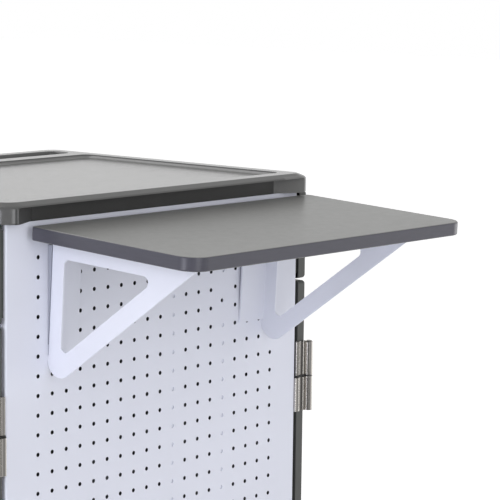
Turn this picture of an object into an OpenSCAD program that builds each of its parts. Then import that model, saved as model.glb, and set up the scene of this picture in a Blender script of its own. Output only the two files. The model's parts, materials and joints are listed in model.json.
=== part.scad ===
// Mobile computer desk: a vented steel cabinet on casters with a moulded worktop and a side
// keyboard tray on two gusset brackets.  Millimetres, Z up, the tray side faces -Y.

/* [Cabinet] */
// Length of a side panel, from door end to door end
panel_l = 570; // [500:1:760]
// Depth of the cabinet over its two side panels
cab_d = 430; // [390:1:520]
// Height of the side panels
panel_h = 830; // [700:1:1000]
// Thickness of the cabinet's sheet steel
sheet = 1.5; // [1:0.1:2]
// Depth of the folded return along a panel's upright edges
return_w = 20; // [14:1:26]
// Outer bend radius of the folded sheet
bend_r = 3; // [2.5:0.1:5]
// Side of the square corner posts
post_w = 25; // [20:1:32]
// Height of the fixed header above each door
header_h = 126; // [80:1:180]

/* [Perforation] */
// Pitch of the vent holes, both ways
pitch = 25.4; // [20:0.1:32]
// Diameter of a vent hole
vent_d = 5.6; // [3.5:0.1:7]
// Drop of the top row of holes below the panel's upper edge
vent_drop = 46.5; // [36:0.5:70]
// Least border between the other outermost holes' centres and the panel's edges
vent_edge = 45; // [36:1:70]

/* [Worktop] */
// Height of the moulded worktop above the cabinet
top_h = 27; // [24:1:40]
// How far the worktop reaches past the tray-side panel
top_front = 19; // [14:1:30]
// How far the handle side reaches past its panel
top_back = 76; // [70:1:100]
// How far each end reaches past the side panels' ends
top_end = 15.5; // [12:0.5:30]
// Plan radius of the worktop's corners
top_r = 31; // [26:1:45]
// Width of the rolled outer edge
roll_w = 13; // [8:1:18]
// Drop of the rolled outer edge
roll_h = 5; // [4:0.5:8]
// Width of the flat crown of the rim
crown_w = 21; // [18:1:34]
// Depth of the recessed work surface below the crown
recess_h = 5; // [4:0.5:8]
// Radius of the fillet at the foot of the recess wall
recess_fillet = 5.5; // [5:0.5:12]
// Thickness of the moulding under the work surface
skin = 5; // [4:0.5:8]
// Length of the handle slot
slot_l = 536; // [400:2:560]
// Length of the finger grip along the tray-side edge, over its tapered ends
grip_l = 566; // [400:2:568]
// Length of each tapered end of the finger grip
grip_taper = 45; // [10:1:80]
// Width of the handle slot at the crown
slot_w = 46; // [40:1:48]
// Flare of the slot's edges
slot_flare = 4; // [2:0.5:5]
// Wall left between the handle-side panel and the slot
slot_land = 2; // [2:0.5:6]
// Width of the land between the work surface and the slot
back_land = 28; // [20:1:40]

/* [Keyboard tray] */
// Length of the tray board along the panel
tray_l = 548; // [480:1:640]
// Depth of the tray board away from the panel
tray_d = 275; // [260:1:330]
// Thickness of the tray board
tray_t = 18; // [15:0.5:25]
// Plan radius of the outer corners
tray_r = 26; // [12:1:45]
// Sideways offset of the board from the cabinet's middle
tray_shift = 23; // [-40:1:45]
// Outward slope of the tray in degrees
tray_slope = 3.1; // [1.5:0.1:5]
// Height of the bracket flange, up to the board's underside
flange_h = 152; // [130:1:180]
// Drop of the flange's foot below the panel's upper edge
flange_drop = 174; // [172:1:270]
// Width of the flange along the panel
flange_w = 52; // [40:1:70]
// Distance between the outer faces of the brackets
bracket_span = 424; // [360:1:460]
// Thickness of the bracket steel
bracket_t = 2.5; // [2:0.1:4]
// Width of the upright leg beside the window
leg_w = 23; // [18:1:32]
// Width of the top rail above the window
rail_w = 24.5; // [18:0.5:32]
// Width of the slanted strut
strut_w = 24.5; // [18:0.5:34]
// Distance from the panel to the strut's outer edge, level with the flange's foot
strut_foot = 62; // [52:1:70]
// Reach of the bracket under the board
bracket_d = 252; // [220:1:256]
// Width of the flange under the board
top_flange_w = 32; // [24:1:45]
// Radius of the bracket's lower tip
tip_r = 22; // [14:1:23]
// Corner radius of the bracket's window
window_r = 8; // [5:1:14]

/* [Doors] */
// Thickness of a door
door_t = 17; // [12:1:22]
// Gap between a panel's end and the door
door_gap = 6; // [5:0.5:9]
// Gap above the door, under the header
head_gap = 3.6; // [3:0.2:10]
// Inset of the door's edges from the panels' outer faces
door_inset = 1; // [0.5:0.5:4]
// Edge radius of the doors and headers
door_r = 4; // [2:0.5:6]

/* [Hinges] */
// Height of a whole hinge
hinge_h = 101.6; // [76:0.2:130]
// Diameter of the hinge barrel
barrel_d = 12; // [10:0.5:14]
// Diameter of the hinge pin
pin_d = 6; // [5:0.5:7]
// Thickness of the hinge leaves
leaf_t = 2.4; // [2:0.1:3]
// Distance of the hinge axis beyond the door's face
barrel_out = 4.5; // [4:0.5:12]
// Distance from the door's end to the middle of the nearest hinge
hinge_inset = 138; // [90:1:200]

/* [Latch] */
// Distance of the latch spindle from the cabinet's middle
latch_y = 146; // [120:1:150]
// Diameter of the latch spindle
spindle_d = 8; // [6:0.5:10]
// Length of the latch handle
lever_l = 92; // [70:1:120]
// Reach of the cam beyond the spindle
cam_l = 31; // [28:1:34]

/* [Casters] */
// Wheel diameter
wheel_d = 125; // [100:1:140]
// Wheel tread width
wheel_w = 32; // [24:1:40]
// Overall height of a caster
caster_h = 158; // [150:1:175]
// Trail of the wheel behind the swivel pin
trail = 36; // [24:1:45]
// Distance of the swivel pins from the panels' upright edges
caster_inset = 66; // [58:1:100]
// Room kept between the caster bolts and the corner posts
caster_clear = 4; // [2:1:20]

/* [Shelves] */
// Height of the lower shelf above the floor of the cabinet
shelf_lower_z = 270; // [180:1:330]
// Height of the upper shelf above the floor of the cabinet
shelf_upper_z = 530; // [430:1:600]
// Depth of a shelf's folded lip
shelf_lip = 18; // [12:1:26]

/* [Hidden] */
$fn = 48;

white_steel = [0.86, 0.87, 0.90];
dark_plastic = [0.40, 0.40, 0.40];
dark_steel = [0.33, 0.34, 0.33];
board_grey = [0.43, 0.42, 0.45];
nickel = [0.74, 0.70, 0.65];
zinc = [0.70, 0.71, 0.73];
rubber_grey = [0.25, 0.25, 0.26];

tiny = 0.01;
touch_gap = 0.3;     // air left between curved or turning faces
run_gap = 0.08;      // radial clearance of a pin in its bore
base_z = caster_h;
panel_top = base_z + panel_h;
flange_z = panel_h - flange_drop;
crown_z = panel_top + top_h;
inner_y = cab_d / 2 - sheet;
inner_x = panel_l / 2 - sheet;

// ---- plan geometry helpers ----

function unit(v) = v / norm(v);

// Points of the arc that rounds corner b of the path a-b-c with radius r.
function corner_arc(a, b, c, r, n) =
    let (u = unit(a - b), w = unit(c - b), half = acos(u * w) / 2,
         mid = b + unit(u + w) * (r / sin(half)),
         side = u.x * w.y - u.y * w.x > 0 ? -1 : 1,
         start = atan2(b.y + u.y * r / tan(half) - mid.y, b.x + u.x * r / tan(half) - mid.x),
         sweep = side * (180 - 2 * half))
    [for (i = [0:n]) mid + r * [cos(start + sweep * i / n), sin(start + sweep * i / n)]];

// A closed outline from corners given as [x, y, radius].
function rounded_outline(p, n = 8) =
    let (m = len(p))
    [for (i = [0:m - 1])
        let (a = p[(i + m - 1) % m], b = p[i], c = p[(i + 1) % m])
        each b[2] > 0 ? corner_arc([a.x, a.y], [b.x, b.y], [c.x, c.y], b[2], n) : [[b.x, b.y]]];

// Points of a quarter ellipse from [x0, y1] to [x1, y0].
function roll_arc(x0, y0, x1, y1, n = 8) =
    [for (i = [0:n]) [x0 + (x1 - x0) * sin(90 * i / n), y0 + (y1 - y0) * cos(90 * i / n)]];

// Sweeps an edge section (children, drawn with its outer side on x = 0 and flat for the last
// half millimetre before x = -depth) around a rectangle with its own radius at each corner,
// and fills the middle between the heights low and high.
module swept_slab(x0, x1, y0, y1, radii, depth, low, high) {
    c = [[x0, y0, 1, 1], [x1, y0, -1, 1], [x1, y1, -1, -1], [x0, y1, 1, -1]];
    for (i = [0:3]) {
        p = c[i];
        q = c[(i + 1) % 4];
        r = radii[i];
        s = radii[(i + 1) % 4];
        a = 180 + 90 * i;
        side = [cos(a + 90), sin(a + 90)];
        run = norm([q.x - p.x, q.y - p.y]) - r - s;
        translate([p.x + p[2] * r, p.y + p[3] * r, 0])
            rotate([0, 0, a]) rotate_extrude(angle = 90) translate([r, 0]) children();
        translate([q.x + q[2] * s + side.x * s, q.y + q[3] * s + side.y * s, 0])
            rotate([0, 0, a + 90]) rotate([90, 0, 0]) linear_extrude(run) children();
    }
    d = depth - 0.5;
    translate([0, 0, low]) linear_extrude(high - low)
        polygon(rounded_outline([for (i = [0:3]) [c[i].x + c[i][2] * d, c[i].y + c[i][3] * d,
            radii[i] - d > 1 ? radii[i] - d : 0]]));
}

// A sheet bent at a right angle: legs along +x and +y from the outer corner at the origin.
module bent_angle(leg_x, leg_y, t, r) {
    translate([r, 0]) square([leg_x - r, t]);
    translate([0, r]) square([t, leg_y - r]);
    translate([r, r]) difference() {
        circle(r);
        circle(max(r - t, 0.3));
        translate([-2 * r, 0]) square(4 * r);
        translate([0, -2 * r]) square(4 * r);
    }
}

// A rectangle from the origin with true round corners.
module round_rect(x, y, r) {
    translate([r, 0]) square([x - 2 * r, y]);
    translate([0, r]) square([x, y - 2 * r]);
    for (px = [r, x - r], py = [r, y - r]) translate([px, py]) circle(r);
}

module mirrored(x = 0, y = 0) {
    mirror([x, 0, 0]) mirror([0, y, 0]) children();
}

// ---- worktop ----

roll_depth = max(roll_w + 1, top_r);

module top_section() {
    polygon(concat(
        [[-roll_depth, 0], [-roll_depth, top_h]],
        corner_arc([-roll_depth, top_h], [-roll_w, top_h], [0, top_h - roll_h], 7, 4),
        corner_arc([-roll_w, top_h], [0, top_h - roll_h], [0, 0], 5, 6),
        [[0, 2], [-0.6, 0.6], [-2, 0]]));
}

recess_x = panel_l / 2 + top_end - roll_w - crown_w;
recess_y0 = -cab_d / 2 - top_front + roll_w + crown_w;
slot_y0 = cab_d / 2 + slot_land - slot_flare;
recess_y1 = slot_y0 - back_land;
recess_r = 14;
recess_a = acos(max(0, 1 - (recess_h - 0.6) / recess_fillet));

module recess_section() {
    polygon(concat(
        [[tiny - recess_r, 1], [tiny - recess_r, -recess_h]],
        [for (i = [0:8]) let (a = recess_a * i / 8)
            [recess_fillet * (sin(a) - sin(recess_a)) - 0.9, -recess_h + recess_fillet * (1 - cos(a))]],
        [[0, 0], [0, 1]]));
}

slot_r = 18;

module slot_section() {
    f = slot_flare;
    polygon(concat(
        [[tiny - slot_r, -top_h - 1], [2 - f, -top_h - 1], [2 - f, -top_h], [-f, -top_h + 2]],
        [for (i = [0:5]) [-f * cos(90 * i / 5), -f - 1 + (f + 1) * sin(90 * i / 5)]],
        [[0, 1], [tiny - slot_r, 1]]));
}

module top_shell() color(dark_plastic) {
    translate([0, 0, panel_top]) difference() {
        swept_slab(-panel_l / 2 - top_end, panel_l / 2 + top_end,
            -cab_d / 2 - top_front, cab_d / 2 + top_back, [top_r, top_r, top_r, top_r],
            roll_depth, 0, top_h)
            top_section();
        translate([0, 0, top_h])
            swept_slab(-recess_x, recess_x, recess_y0, recess_y1,
                [recess_r, recess_r, recess_r, recess_r], recess_r, -recess_h, 1)
                recess_section();
        translate([0, 0, top_h])
            swept_slab(-slot_l / 2, slot_l / 2, slot_y0, slot_y0 + slot_w,
                [slot_r, slot_r, slot_r, slot_r], slot_r, -top_h - 1, 1)
                slot_section();
        finger_grip();
        core_pocket(0);
    }
}

lip_t = 1;

// The grip under the rolled edge on the tray side, open down to the panel's top edge and
// running out at both ends.
module finger_grip() {
    y0 = -cab_d / 2 - top_front - 1;
    y1 = -cab_d / 2 + bend_r;
    x = grip_l / 2;
    step = grip_taper / (y1 - y0 - 1);
    translate([0, 0, -1]) linear_extrude(top_h - roll_h - lip_t + 1)
        polygon([[-x - step, y0], [x + step, y0], [x - grip_taper, y1], [grip_taper - x, y1]]);
}

core_wall = 7;
core_h = top_h - recess_h - skin;

// The room under the work surface that the board core fills.
module core_pocket(gap) {
    w = core_wall + gap;
    translate([-recess_x + w, recess_y0 + w, -(gap > 0 ? 0 : 1)])
        cube([2 * (recess_x - w), recess_y1 - recess_y0 - 2 * w, core_h + (gap > 0 ? 0 : 1)]);
}

module top_core() color([0.72, 0.60, 0.45])
    translate([0, 0, panel_top]) core_pocket(touch_gap);

// ---- cabinet shell ----

vent_nx = floor((panel_l / 2 - vent_edge) / pitch);
vent_nz = floor((panel_h - vent_drop - vent_edge) / pitch);
vent_z0 = panel_h - vent_drop - vent_nz * pitch;
// Fixing hole of the upright behind the panel, which takes the place of two holes of the grid.
fix_x = 5 * pitch - 2.2;
fix_z = vent_z0 + (vent_nz - 3.65) * pitch;

module side_panel() {
    rotate([90, 0, 0]) linear_extrude(sheet) difference() {
        translate([-panel_l / 2 + bend_r, 0]) square([panel_l - 2 * bend_r, panel_h]);
        for (i = [-vent_nx:vent_nx], j = [0:vent_nz])
            if (norm([i * pitch - fix_x, vent_z0 + j * pitch - fix_z]) > pitch * 0.75)
                translate([i * pitch, vent_z0 + j * pitch]) circle(d = vent_d, $fn = 20);
        translate([fix_x, fix_z]) circle(d = vent_d, $fn = 20);
    }
    for (m = [0, 1]) mirror([m, 0, 0]) translate([-panel_l / 2, -sheet, 0])
        linear_extrude(panel_h) translate([0, 0]) bent_angle(bend_r + tiny, return_w, sheet, bend_r);
}

module side_panel_front() color(white_steel)
    translate([0, -cab_d / 2 + sheet, base_z]) side_panel();

module side_panel_back() color(white_steel)
    mirrored(0, 1) translate([0, -cab_d / 2 + sheet, base_z]) side_panel();

module roof_plate() color(dark_steel)
    translate([-inner_x + bend_r, -inner_y, panel_top - sheet])
        cube([2 * (inner_x - bend_r), 2 * inner_y, sheet]);

base_t = 3;
sill_h = 34;

module base_pan() color(dark_steel) {
    x = inner_x - bend_r;
    translate([-x, -inner_y, base_z]) difference() {
        cube([2 * x, 2 * inner_y, base_t]);
        for (sx = [-1, 1], sy = [-1, 1]) translate([x, inner_y, 0])
            caster_holes(sx, sy, -1, base_t + 2);
    }
    for (m = [0, 1]) mirror([m, 0, 0])
        translate([-x, -inner_y + post_w + touch_gap, base_z])
            cube([sheet, 2 * (inner_y - post_w - touch_gap), sill_h]);
}

module post() {
    z0 = base_z + base_t;
    translate([inner_x - post_w, inner_y - post_w, z0])
        linear_extrude(panel_top - sheet - z0) difference() {
            round_rect(post_w, post_w, bend_r);
            translate([sheet, sheet]) square(post_w - 2 * sheet);
        }
}

module post_front_left() color(dark_steel) mirrored(1, 1) post();
module post_front_right() color(dark_steel) mirrored(0, 1) post();
module post_back_left() color(dark_steel) mirrored(1, 0) post();
module post_back_right() color(dark_steel) post();

// Hat-section upright behind two columns of holes, seen through them as pale spots.
upright_x0 = 1 * pitch;
upright_x1 = 5 * pitch;
upright_depth = 32;

module upright() difference() {
    foot = 22;
    t = sheet;
    z0 = base_z + base_t;
    translate([0, -inner_y, z0]) linear_extrude(panel_top - sheet - z0) union() {
        translate([upright_x0 - foot / 2, 0]) square([foot, t]);
        translate([upright_x1 - foot / 2, 0]) square([foot, t]);
        translate([upright_x0 + foot / 2 - t, 0]) square([t, upright_depth]);
        translate([upright_x1 - foot / 2, 0]) square([t, upright_depth]);
        translate([upright_x0 + foot / 2 - t, upright_depth - t])
            square([upright_x1 - upright_x0 - foot + 2 * t, t]);
    }
    translate([fix_x, -inner_y + 4, base_z + fix_z]) rotate([90, 0, 0]) cylinder(d = 9, h = 8);
}

module upright_front() color(white_steel) upright();
module upright_back() color(white_steel) mirrored(0, 1) upright();

// ---- doors and headers ----

door_x0 = panel_l / 2 + door_gap;
door_x1 = door_x0 + door_t;
door_y = cab_d / 2 - door_inset;
door_top = panel_top - header_h - head_gap;
door_bottom = base_z + 7;
door_h = door_top - door_bottom;
skin_t = 1.5;
pan_depth = door_t - skin_t - door_r / 2;

// A folded pan with rolled edges, face at door_x1, open towards the cabinet.
module pan(z0, z1) {
    rotate([90, 0, 90]) translate([0, 0, door_x0])
        difference() {
            swept_slab(-door_y, door_y, z0, z1, [for (i = [0:3]) door_r + 1 + tiny], door_r + 1, 0, door_t)
                polygon(concat([[-door_r - 1, 0], [-door_r - 1, door_t]],
                    roll_arc(-door_r, door_t - door_r, 0, door_t, 6), [[0, 0]]));
            translate([-door_y + skin_t, z0 + skin_t, -1])
                cube([2 * (door_y - skin_t), z1 - z0 - 2 * skin_t, pan_depth + 1]);
            translate([-door_y + door_r, z0 + door_r, -1])
                cube([2 * (door_y - door_r), z1 - z0 - 2 * door_r, door_t - skin_t + 1]);
        }
}

header_tab_y = 16;

module header() {
    pan(panel_top - header_h, panel_top - touch_gap);
    for (m = [0, 1]) mirror([0, m, 0])
        translate([panel_l / 2, inner_y - bend_r - header_tab_y, panel_top - header_h + 8])
            cube([door_gap + door_t - skin_t + tiny, header_tab_y, header_h - 16]);
}

module header_right() color(dark_steel) header();
module header_left() color(dark_steel) mirrored(1, 0) header();

latch_z = door_bottom + door_h / 2;
hinge_zs = [door_bottom + hinge_inset, door_top - hinge_inset];

module door_pan() {
    difference() {
        pan(door_bottom, door_top);
        translate([door_x0 - 1, latch_y, latch_z]) rotate([0, 90, 0])
            cylinder(d = spindle_d + 2 * run_gap, h = door_t + 2);
    }
}

module door_liner() {
    x = door_x0;
    g = skin_t;
    difference() {
        translate([x, -door_y + g, door_bottom + g])
            cube([skin_t, 2 * (door_y - g), door_h - 2 * g]);
        translate([x - 1, latch_y, latch_z]) rotate([0, 90, 0])
            cylinder(d = spindle_d + 2 * run_gap, h = door_t + 2);
    }
}

module door_pan_right() color(dark_steel) door_pan();
module door_pan_left() color(dark_steel) mirrored(1, 0) door_pan();
module door_liner_right() color(dark_steel) door_liner();
module door_liner_left() color(dark_steel) mirrored(1, 0) door_liner();

// ---- hinges ----

hinge_x = door_x1 + barrel_out;
hinge_y = -cab_d / 2 - 2.5;
leaf_y = -door_y - touch_gap;
half_h = hinge_h / 2 - 0.8;

web_t = 1.3;
flute_r = 1.35;

// Plan of a leaf: a thin web round the door's edge with a broad rounded rib beside the panel
// and a narrow one beside the barrel.
module leaf_plan(x_end, y) {
    rib = door_x0 + 3.4;
    difference() {
        union() {
            polygon([[hinge_x, y - web_t], [hinge_x, y], [x_end, y], [x_end, y - web_t]]);
            polygon(rounded_outline([[x_end, y - web_t / 2, 0], [x_end, y - leaf_t, 1],
                [(x_end + rib) / 2, y - leaf_t - 0.8, 4], [rib, y - leaf_t, 1], [rib, y - web_t / 2, 0]], 5));
            translate([hinge_x - barrel_d / 2 - flute_r - 2.6, y - flute_r - 0.15]) circle(flute_r);
        }
        translate([hinge_x, hinge_y]) circle(d = barrel_d - 1);
    }
}

module hinge_fixed() {
    for (z = hinge_zs) translate([0, 0, z - hinge_h / 2]) {
        translate([hinge_x, hinge_y, 0]) cylinder(d = barrel_d, h = half_h);
        translate([hinge_x, hinge_y, half_h - 1]) cylinder(d = pin_d, h = half_h - 8);
        linear_extrude(half_h) leaf_plan(panel_l / 2 + 0.05, leaf_y);
        translate([panel_l / 2 + 0.05, leaf_y - web_t, 0]) cube([leaf_t, 34, half_h]);
    }
}

module hinge_moving() {
    for (z = hinge_zs) translate([0, 0, z + hinge_h / 2 - half_h]) difference() {
        union() {
            translate([hinge_x, hinge_y, 0]) cylinder(d = barrel_d, h = half_h - 2);
            translate([hinge_x, hinge_y, half_h - 2])
                cylinder(d1 = barrel_d, d2 = barrel_d - 4, h = 2);
            linear_extrude(half_h) leaf_plan(panel_l / 2 + 1.8, -door_y);
        }
        translate([hinge_x, hinge_y, -1]) cylinder(d = pin_d + 2 * run_gap, h = half_h - 6);
    }
}

module hinge_fixed_right() color(nickel) hinge_fixed();
module hinge_fixed_left() color(nickel) mirrored(1, 0) hinge_fixed();
module hinge_moving_right() color(nickel) hinge_moving();
module hinge_moving_left() color(nickel) mirrored(1, 0) hinge_moving();

// ---- latches ----

strike_gap = 1.2;
cam_t = 3;
strike_t = 2;
cam_x1 = inner_x - sheet - strike_t - strike_gap;
lever_w = 18;
square_w = spindle_d * 0.7;

module latch_handle() {
    translate([0, latch_y, latch_z]) rotate([0, 90, 0]) {
        translate([0, 0, cam_x1 + 2]) cylinder(d = spindle_d, h = door_x1 - cam_x1);
        translate([-square_w / 2, -square_w / 2, cam_x1 - cam_t - 4])
            cube([square_w, square_w, cam_t + 6 + tiny]);
        translate([0, 0, cam_x1]) cylinder(d = spindle_d, h = 2 + tiny);
        translate([0, 0, door_x1 + touch_gap]) cylinder(d = 30, h = 5);
        translate([0, 0, door_x1 + touch_gap + 4]) cylinder(d = 20, h = 14);
        translate([0, 0, door_x1 + touch_gap + 12]) rotate([0, 0, -90]) linear_extrude(9)
            polygon(rounded_outline([[-lever_w / 2, -lever_w / 2, 7], [lever_l - lever_w, -lever_w / 3, 5],
                [lever_l - lever_w, lever_w / 3, 5], [-lever_w / 2, lever_w / 2, 7]]));
    }
}

module latch_cam() {
    translate([0, latch_y, latch_z]) rotate([0, 90, 0]) translate([0, 0, cam_x1 - cam_t])
        linear_extrude(cam_t) difference() {
            polygon(rounded_outline([[-10, -9, 4], [cam_l, -7, 3], [cam_l, 7, 3], [-10, 9, 4]]));
            translate([-square_w / 2, -square_w / 2]) square(square_w);
        }
}

module latch_strike() {
    h = 60;
    y1 = inner_y - post_w;
    lip = 19;
    translate([cam_x1 + strike_gap, y1 - lip, latch_z - h / 2]) cube([strike_t, lip, h]);
    translate([cam_x1 - 16, y1 - strike_t, latch_z - h / 2])
        cube([16 + strike_gap + strike_t, strike_t, h]);
}

module latch_handle_right() color(zinc) latch_handle();
module latch_handle_left() color(zinc) mirrored(1, 0) latch_handle();
module latch_cam_right() color(zinc) latch_cam();
module latch_cam_left() color(zinc) mirrored(1, 0) latch_cam();
module latch_strikes() color(zinc) for (m = [0, 1]) mirrored(m, 0) latch_strike();

// ---- shelves ----

shelf_x = inner_x - bend_r - 4;
shelf_y = inner_y - post_w - 2;
rail_leg = 20;

module shelf(z) {
    t = 1.2;
    translate([0, 0, base_z + base_t + z]) {
        translate([-shelf_x, -shelf_y, -t]) cube([2 * shelf_x, 2 * shelf_y, t]);
        for (m = [0, 1]) mirror([m, 0, 0])
            translate([-shelf_x, -shelf_y + rail_leg + 4, -shelf_lip])
                cube([t, 2 * (shelf_y - rail_leg - 4), shelf_lip]);
    }
}

module shelf_lower() color(dark_steel) difference() {
    shelf(shelf_lower_z);
    upright_clearance();
}

module shelf_upper() color(dark_steel) difference() {
    shelf(shelf_upper_z);
    upright_clearance();
}

module upright_clearance() {
    for (m = [0, 1]) mirror([0, m, 0])
        translate([upright_x0 - 14, -cab_d / 2, base_z])
            cube([upright_x1 - upright_x0 + 28, upright_depth + sheet + 1, panel_h]);
}

// Angle rails between the corner posts; the shelves rest on them.
module shelf_rails() color(dark_steel)
    for (z = [shelf_lower_z, shelf_upper_z], m = [0, 1]) mirror([0, m, 0])
        translate([0, 0, base_z + base_t + z - 1.2]) difference() {
            union() {
                translate([-inner_x + post_w / 4, -inner_y + post_w, -rail_leg])
                    cube([2 * inner_x - post_w / 2, sheet, rail_leg]);
                translate([-inner_x + post_w / 4, -inner_y + post_w, -sheet])
                    cube([2 * inner_x - post_w / 2, rail_leg, sheet]);
            }
            translate([upright_x0 - 14, -cab_d / 2, -panel_h / 2])
                cube([upright_x1 - upright_x0 + 28, upright_depth + sheet + 1, panel_h]);
        }

// ---- keyboard tray, built level and then sloped as one assembly ----

module tray_frame() {
    translate([0, -cab_d / 2, base_z + flange_z]) rotate([tray_slope, 0, 0]) children();
}

tray_x0 = tray_shift - tray_l / 2;
tray_x1 = tray_shift + tray_l / 2;
edge_r = 2;
back_r = 6;

module tray_board() color(board_grey) tray_frame() difference() {
    translate([0, 0, flange_h])
        swept_slab(tray_x0, tray_x1, -tray_d, 0, [tray_r, tray_r, back_r, back_r], 5, 0, tray_t)
            polygon(concat([[-5, 0], [-5, tray_t]],
                roll_arc(-edge_r, tray_t - edge_r, 0, tray_t, 4),
                [for (i = [0:4]) [-edge_r + edge_r * cos(90 * i / 4), edge_r - edge_r * sin(90 * i / 4)]]));
    tray_screw_places() translate([0, 0, flange_h - 1]) cylinder(d = 3.7, h = 13, $fn = 24);
}

// Corners of the strut's outer edge: where it meets the board and where it would meet the leg.
strut_dir = unit([bracket_d - strut_foot, flange_h]);
strut_low = [0, -strut_foot * strut_dir.y / strut_dir.x];
// The plate's lower end, kept off the upright panel that the sloped flange stands on.
strut_end = let (s = strut_foot / (strut_dir.x + strut_dir.y * tan(tray_slope)))
    s * strut_dir.y * [tan(tray_slope), -1];

module gusset_plate() {
    outer = [[bend_o, flange_h - bend_o, 5], [bend_o, 0, 0], [0, 0, 0], [strut_end.x, strut_end.y, tip_r],
        [bracket_d, flange_h, 3], [bracket_d - nose, flange_h, 0],
        [bracket_d - nose, flange_h - bend_o, 0]];
    wl = leg_w;
    wt = flange_h - rail_w;
    shift = strut_w / strut_dir.x;
    slope = strut_dir.y / strut_dir.x;
    low = strut_low.y + shift + slope * wl;
    far = (wt - strut_low.y - shift) / slope;
    difference() {
        polygon([for (p = rounded_outline(outer, 12)) [-p.x, p.y]]);
        polygon([for (p = rounded_outline([[wl, wt, window_r], [wl, low, window_r], [far, wt, window_r]], 8))
            [-p.x, p.y]]);
    }
}

bend_o = bracket_t + 0.8;
nose = 16;
bend_relief = bend_o + 5.2;

module bracket() {
    x1 = bracket_span / 2;
    translate([x1 - bracket_t, 0, 0]) rotate([90, 0, 90]) linear_extrude(bracket_t) gusset_plate();
    translate([x1, 0, 0]) rotate([0, 0, 180])
        linear_extrude(flange_h - bend_relief)
            bent_angle(flange_w, bend_o + tiny, bracket_t, bend_o);
    difference() {
        translate([x1, -bend_relief, flange_h]) rotate([90, 0, 0])
            linear_extrude(bracket_d - bend_relief - nose) rotate(180)
                bent_angle(top_flange_w, bend_o + tiny, bracket_t, bend_o);
        tray_screw_places() translate([0, 0, flange_h - 2 * bracket_t])
            cylinder(d = 4.4, h = 4 * bracket_t);
    }
}

module tray_bracket_right() color(white_steel) tray_frame() bracket();
module tray_bracket_left() color(white_steel) tray_frame() mirror([1, 0, 0]) bracket();

stud_rows = [2, 5];
stud_x = floor((bracket_span / 2 - bend_o - 6) / pitch - 0.3) * pitch;
stud_z0 = base_z + vent_z0;
stud_row0 = ceil((base_z + flange_z - stud_z0) / pitch);

// Places of the weld studs behind the right bracket's flange, on the panel's own holes.
module stud_places() {
    for (k = stud_rows)
        translate([stud_x, 0, (stud_z0 + (stud_row0 + k) * pitch - base_z - flange_z) * cos(tray_slope)])
            children();
}

// Places of the board screws in the right bracket's top flange.
module tray_screw_places() {
    for (m = [0, 1], k = [0:3]) mirror([m, 0, 0])
        translate([bracket_span / 2 - top_flange_w * 0.6, -bend_o - 24 - k * (bracket_d - 92) / 3, 0]) children();
}

module bracket_wedge() difference() {
    x1 = bracket_span / 2 - 0.5;
    x0 = bracket_span / 2 - flange_w + 5;
    v0 = 14;
    v1 = flange_h - 10;
    translate([x0, -cab_d / 2, base_z + flange_z]) rotate([90, 0, 90]) linear_extrude(x1 - x0)
        polygon([[0, v0], [-v0 * tan(tray_slope), v0], [-v1 * tan(tray_slope), v1], [0, v1]]);
    tray_frame() stud_places() translate([0, 20, 0]) rotate([90, 0, 0]) cylinder(d = 5, h = 40);
}

module bracket_wedge_right() color(white_steel) bracket_wedge();
module bracket_wedge_left() color(white_steel) mirrored(1, 0) bracket_wedge();

stud_d = 4;

module bracket_studs() color(zinc) tray_frame() for (m = [0, 1]) mirror([m, 0, 0])
    stud_places() translate([0, 22, 0]) rotate([90, 0, 0]) cylinder(d = stud_d, h = 22);

module bracket_nuts() color(zinc) for (m = [0, 1]) mirror([m, 0, 0])
    for (k = stud_rows)
        translate([stud_x, -inner_y, stud_z0 + (stud_row0 + k) * pitch]) rotate([-90, 0, 0]) difference() {
            cylinder(d = 8, h = 3.2, $fn = 6);
            translate([0, 0, -1]) cylinder(d = stud_d + 0.6, h = 6);
        }

module tray_screws() color(zinc) tray_frame()
    tray_screw_places() translate([0, 0, flange_h - bracket_t]) {
        translate([0, 0, -2.4]) cylinder(d = 8, h = 2.4);
        translate([0, 0, -tiny]) cylinder(d = 3.5, h = 12 + bracket_t - 1);
    }

// ---- casters ----

plate_t = 3;
plate_l = 96;
plate_b = 80;
king_d = 12;
crown_t = 4;
race_h = 9;
fork_top = caster_h - plate_t - race_h;
axle_z = wheel_d / 2;
axle_d = 8;
fork_gap = 2;
leg_t = 3;
leg_y = wheel_w / 2 + fork_gap;

caster_x = panel_l / 2 - caster_inset;
bolt_x = plate_l / 2 - 11;
bolt_y = plate_b / 2 - 11;
bolt_head = 13;
caster_y = inner_y - post_w - caster_clear - bolt_head / 2 - bolt_y;

// The four bolt holes of one caster, as upright cylinders.
module caster_holes(sx, sy, z, h, d = 8.6) {
    translate([sx * caster_x, sy * caster_y, z])
        for (i = [-1, 1], j = [-1, 1]) translate([i * bolt_x, j * bolt_y, 0]) cylinder(d = d, h = h);
}

module caster_plate(sx, sy) color(zinc) {
    difference() {
        translate([sx * caster_x, sy * caster_y, caster_h - plate_t]) linear_extrude(plate_t)
            polygon(rounded_outline([[-plate_l / 2, -plate_b / 2, 8], [plate_l / 2, -plate_b / 2, 8],
                [plate_l / 2, plate_b / 2, 8], [-plate_l / 2, plate_b / 2, 8]]));
        caster_holes(sx, sy, caster_h - plate_t - 1, plate_t + 2);
    }
    translate([sx * caster_x, sy * caster_y, 0]) {
        translate([0, 0, fork_top + touch_gap]) cylinder(d1 = 58, d2 = 66, h = race_h - touch_gap + tiny);
        translate([0, 0, fork_top - crown_t - 6]) cylinder(d = king_d, h = crown_t + 7);
        translate([0, 0, fork_top - crown_t - 6 - touch_gap]) cylinder(d = 20, h = 6);
    }
}

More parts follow.
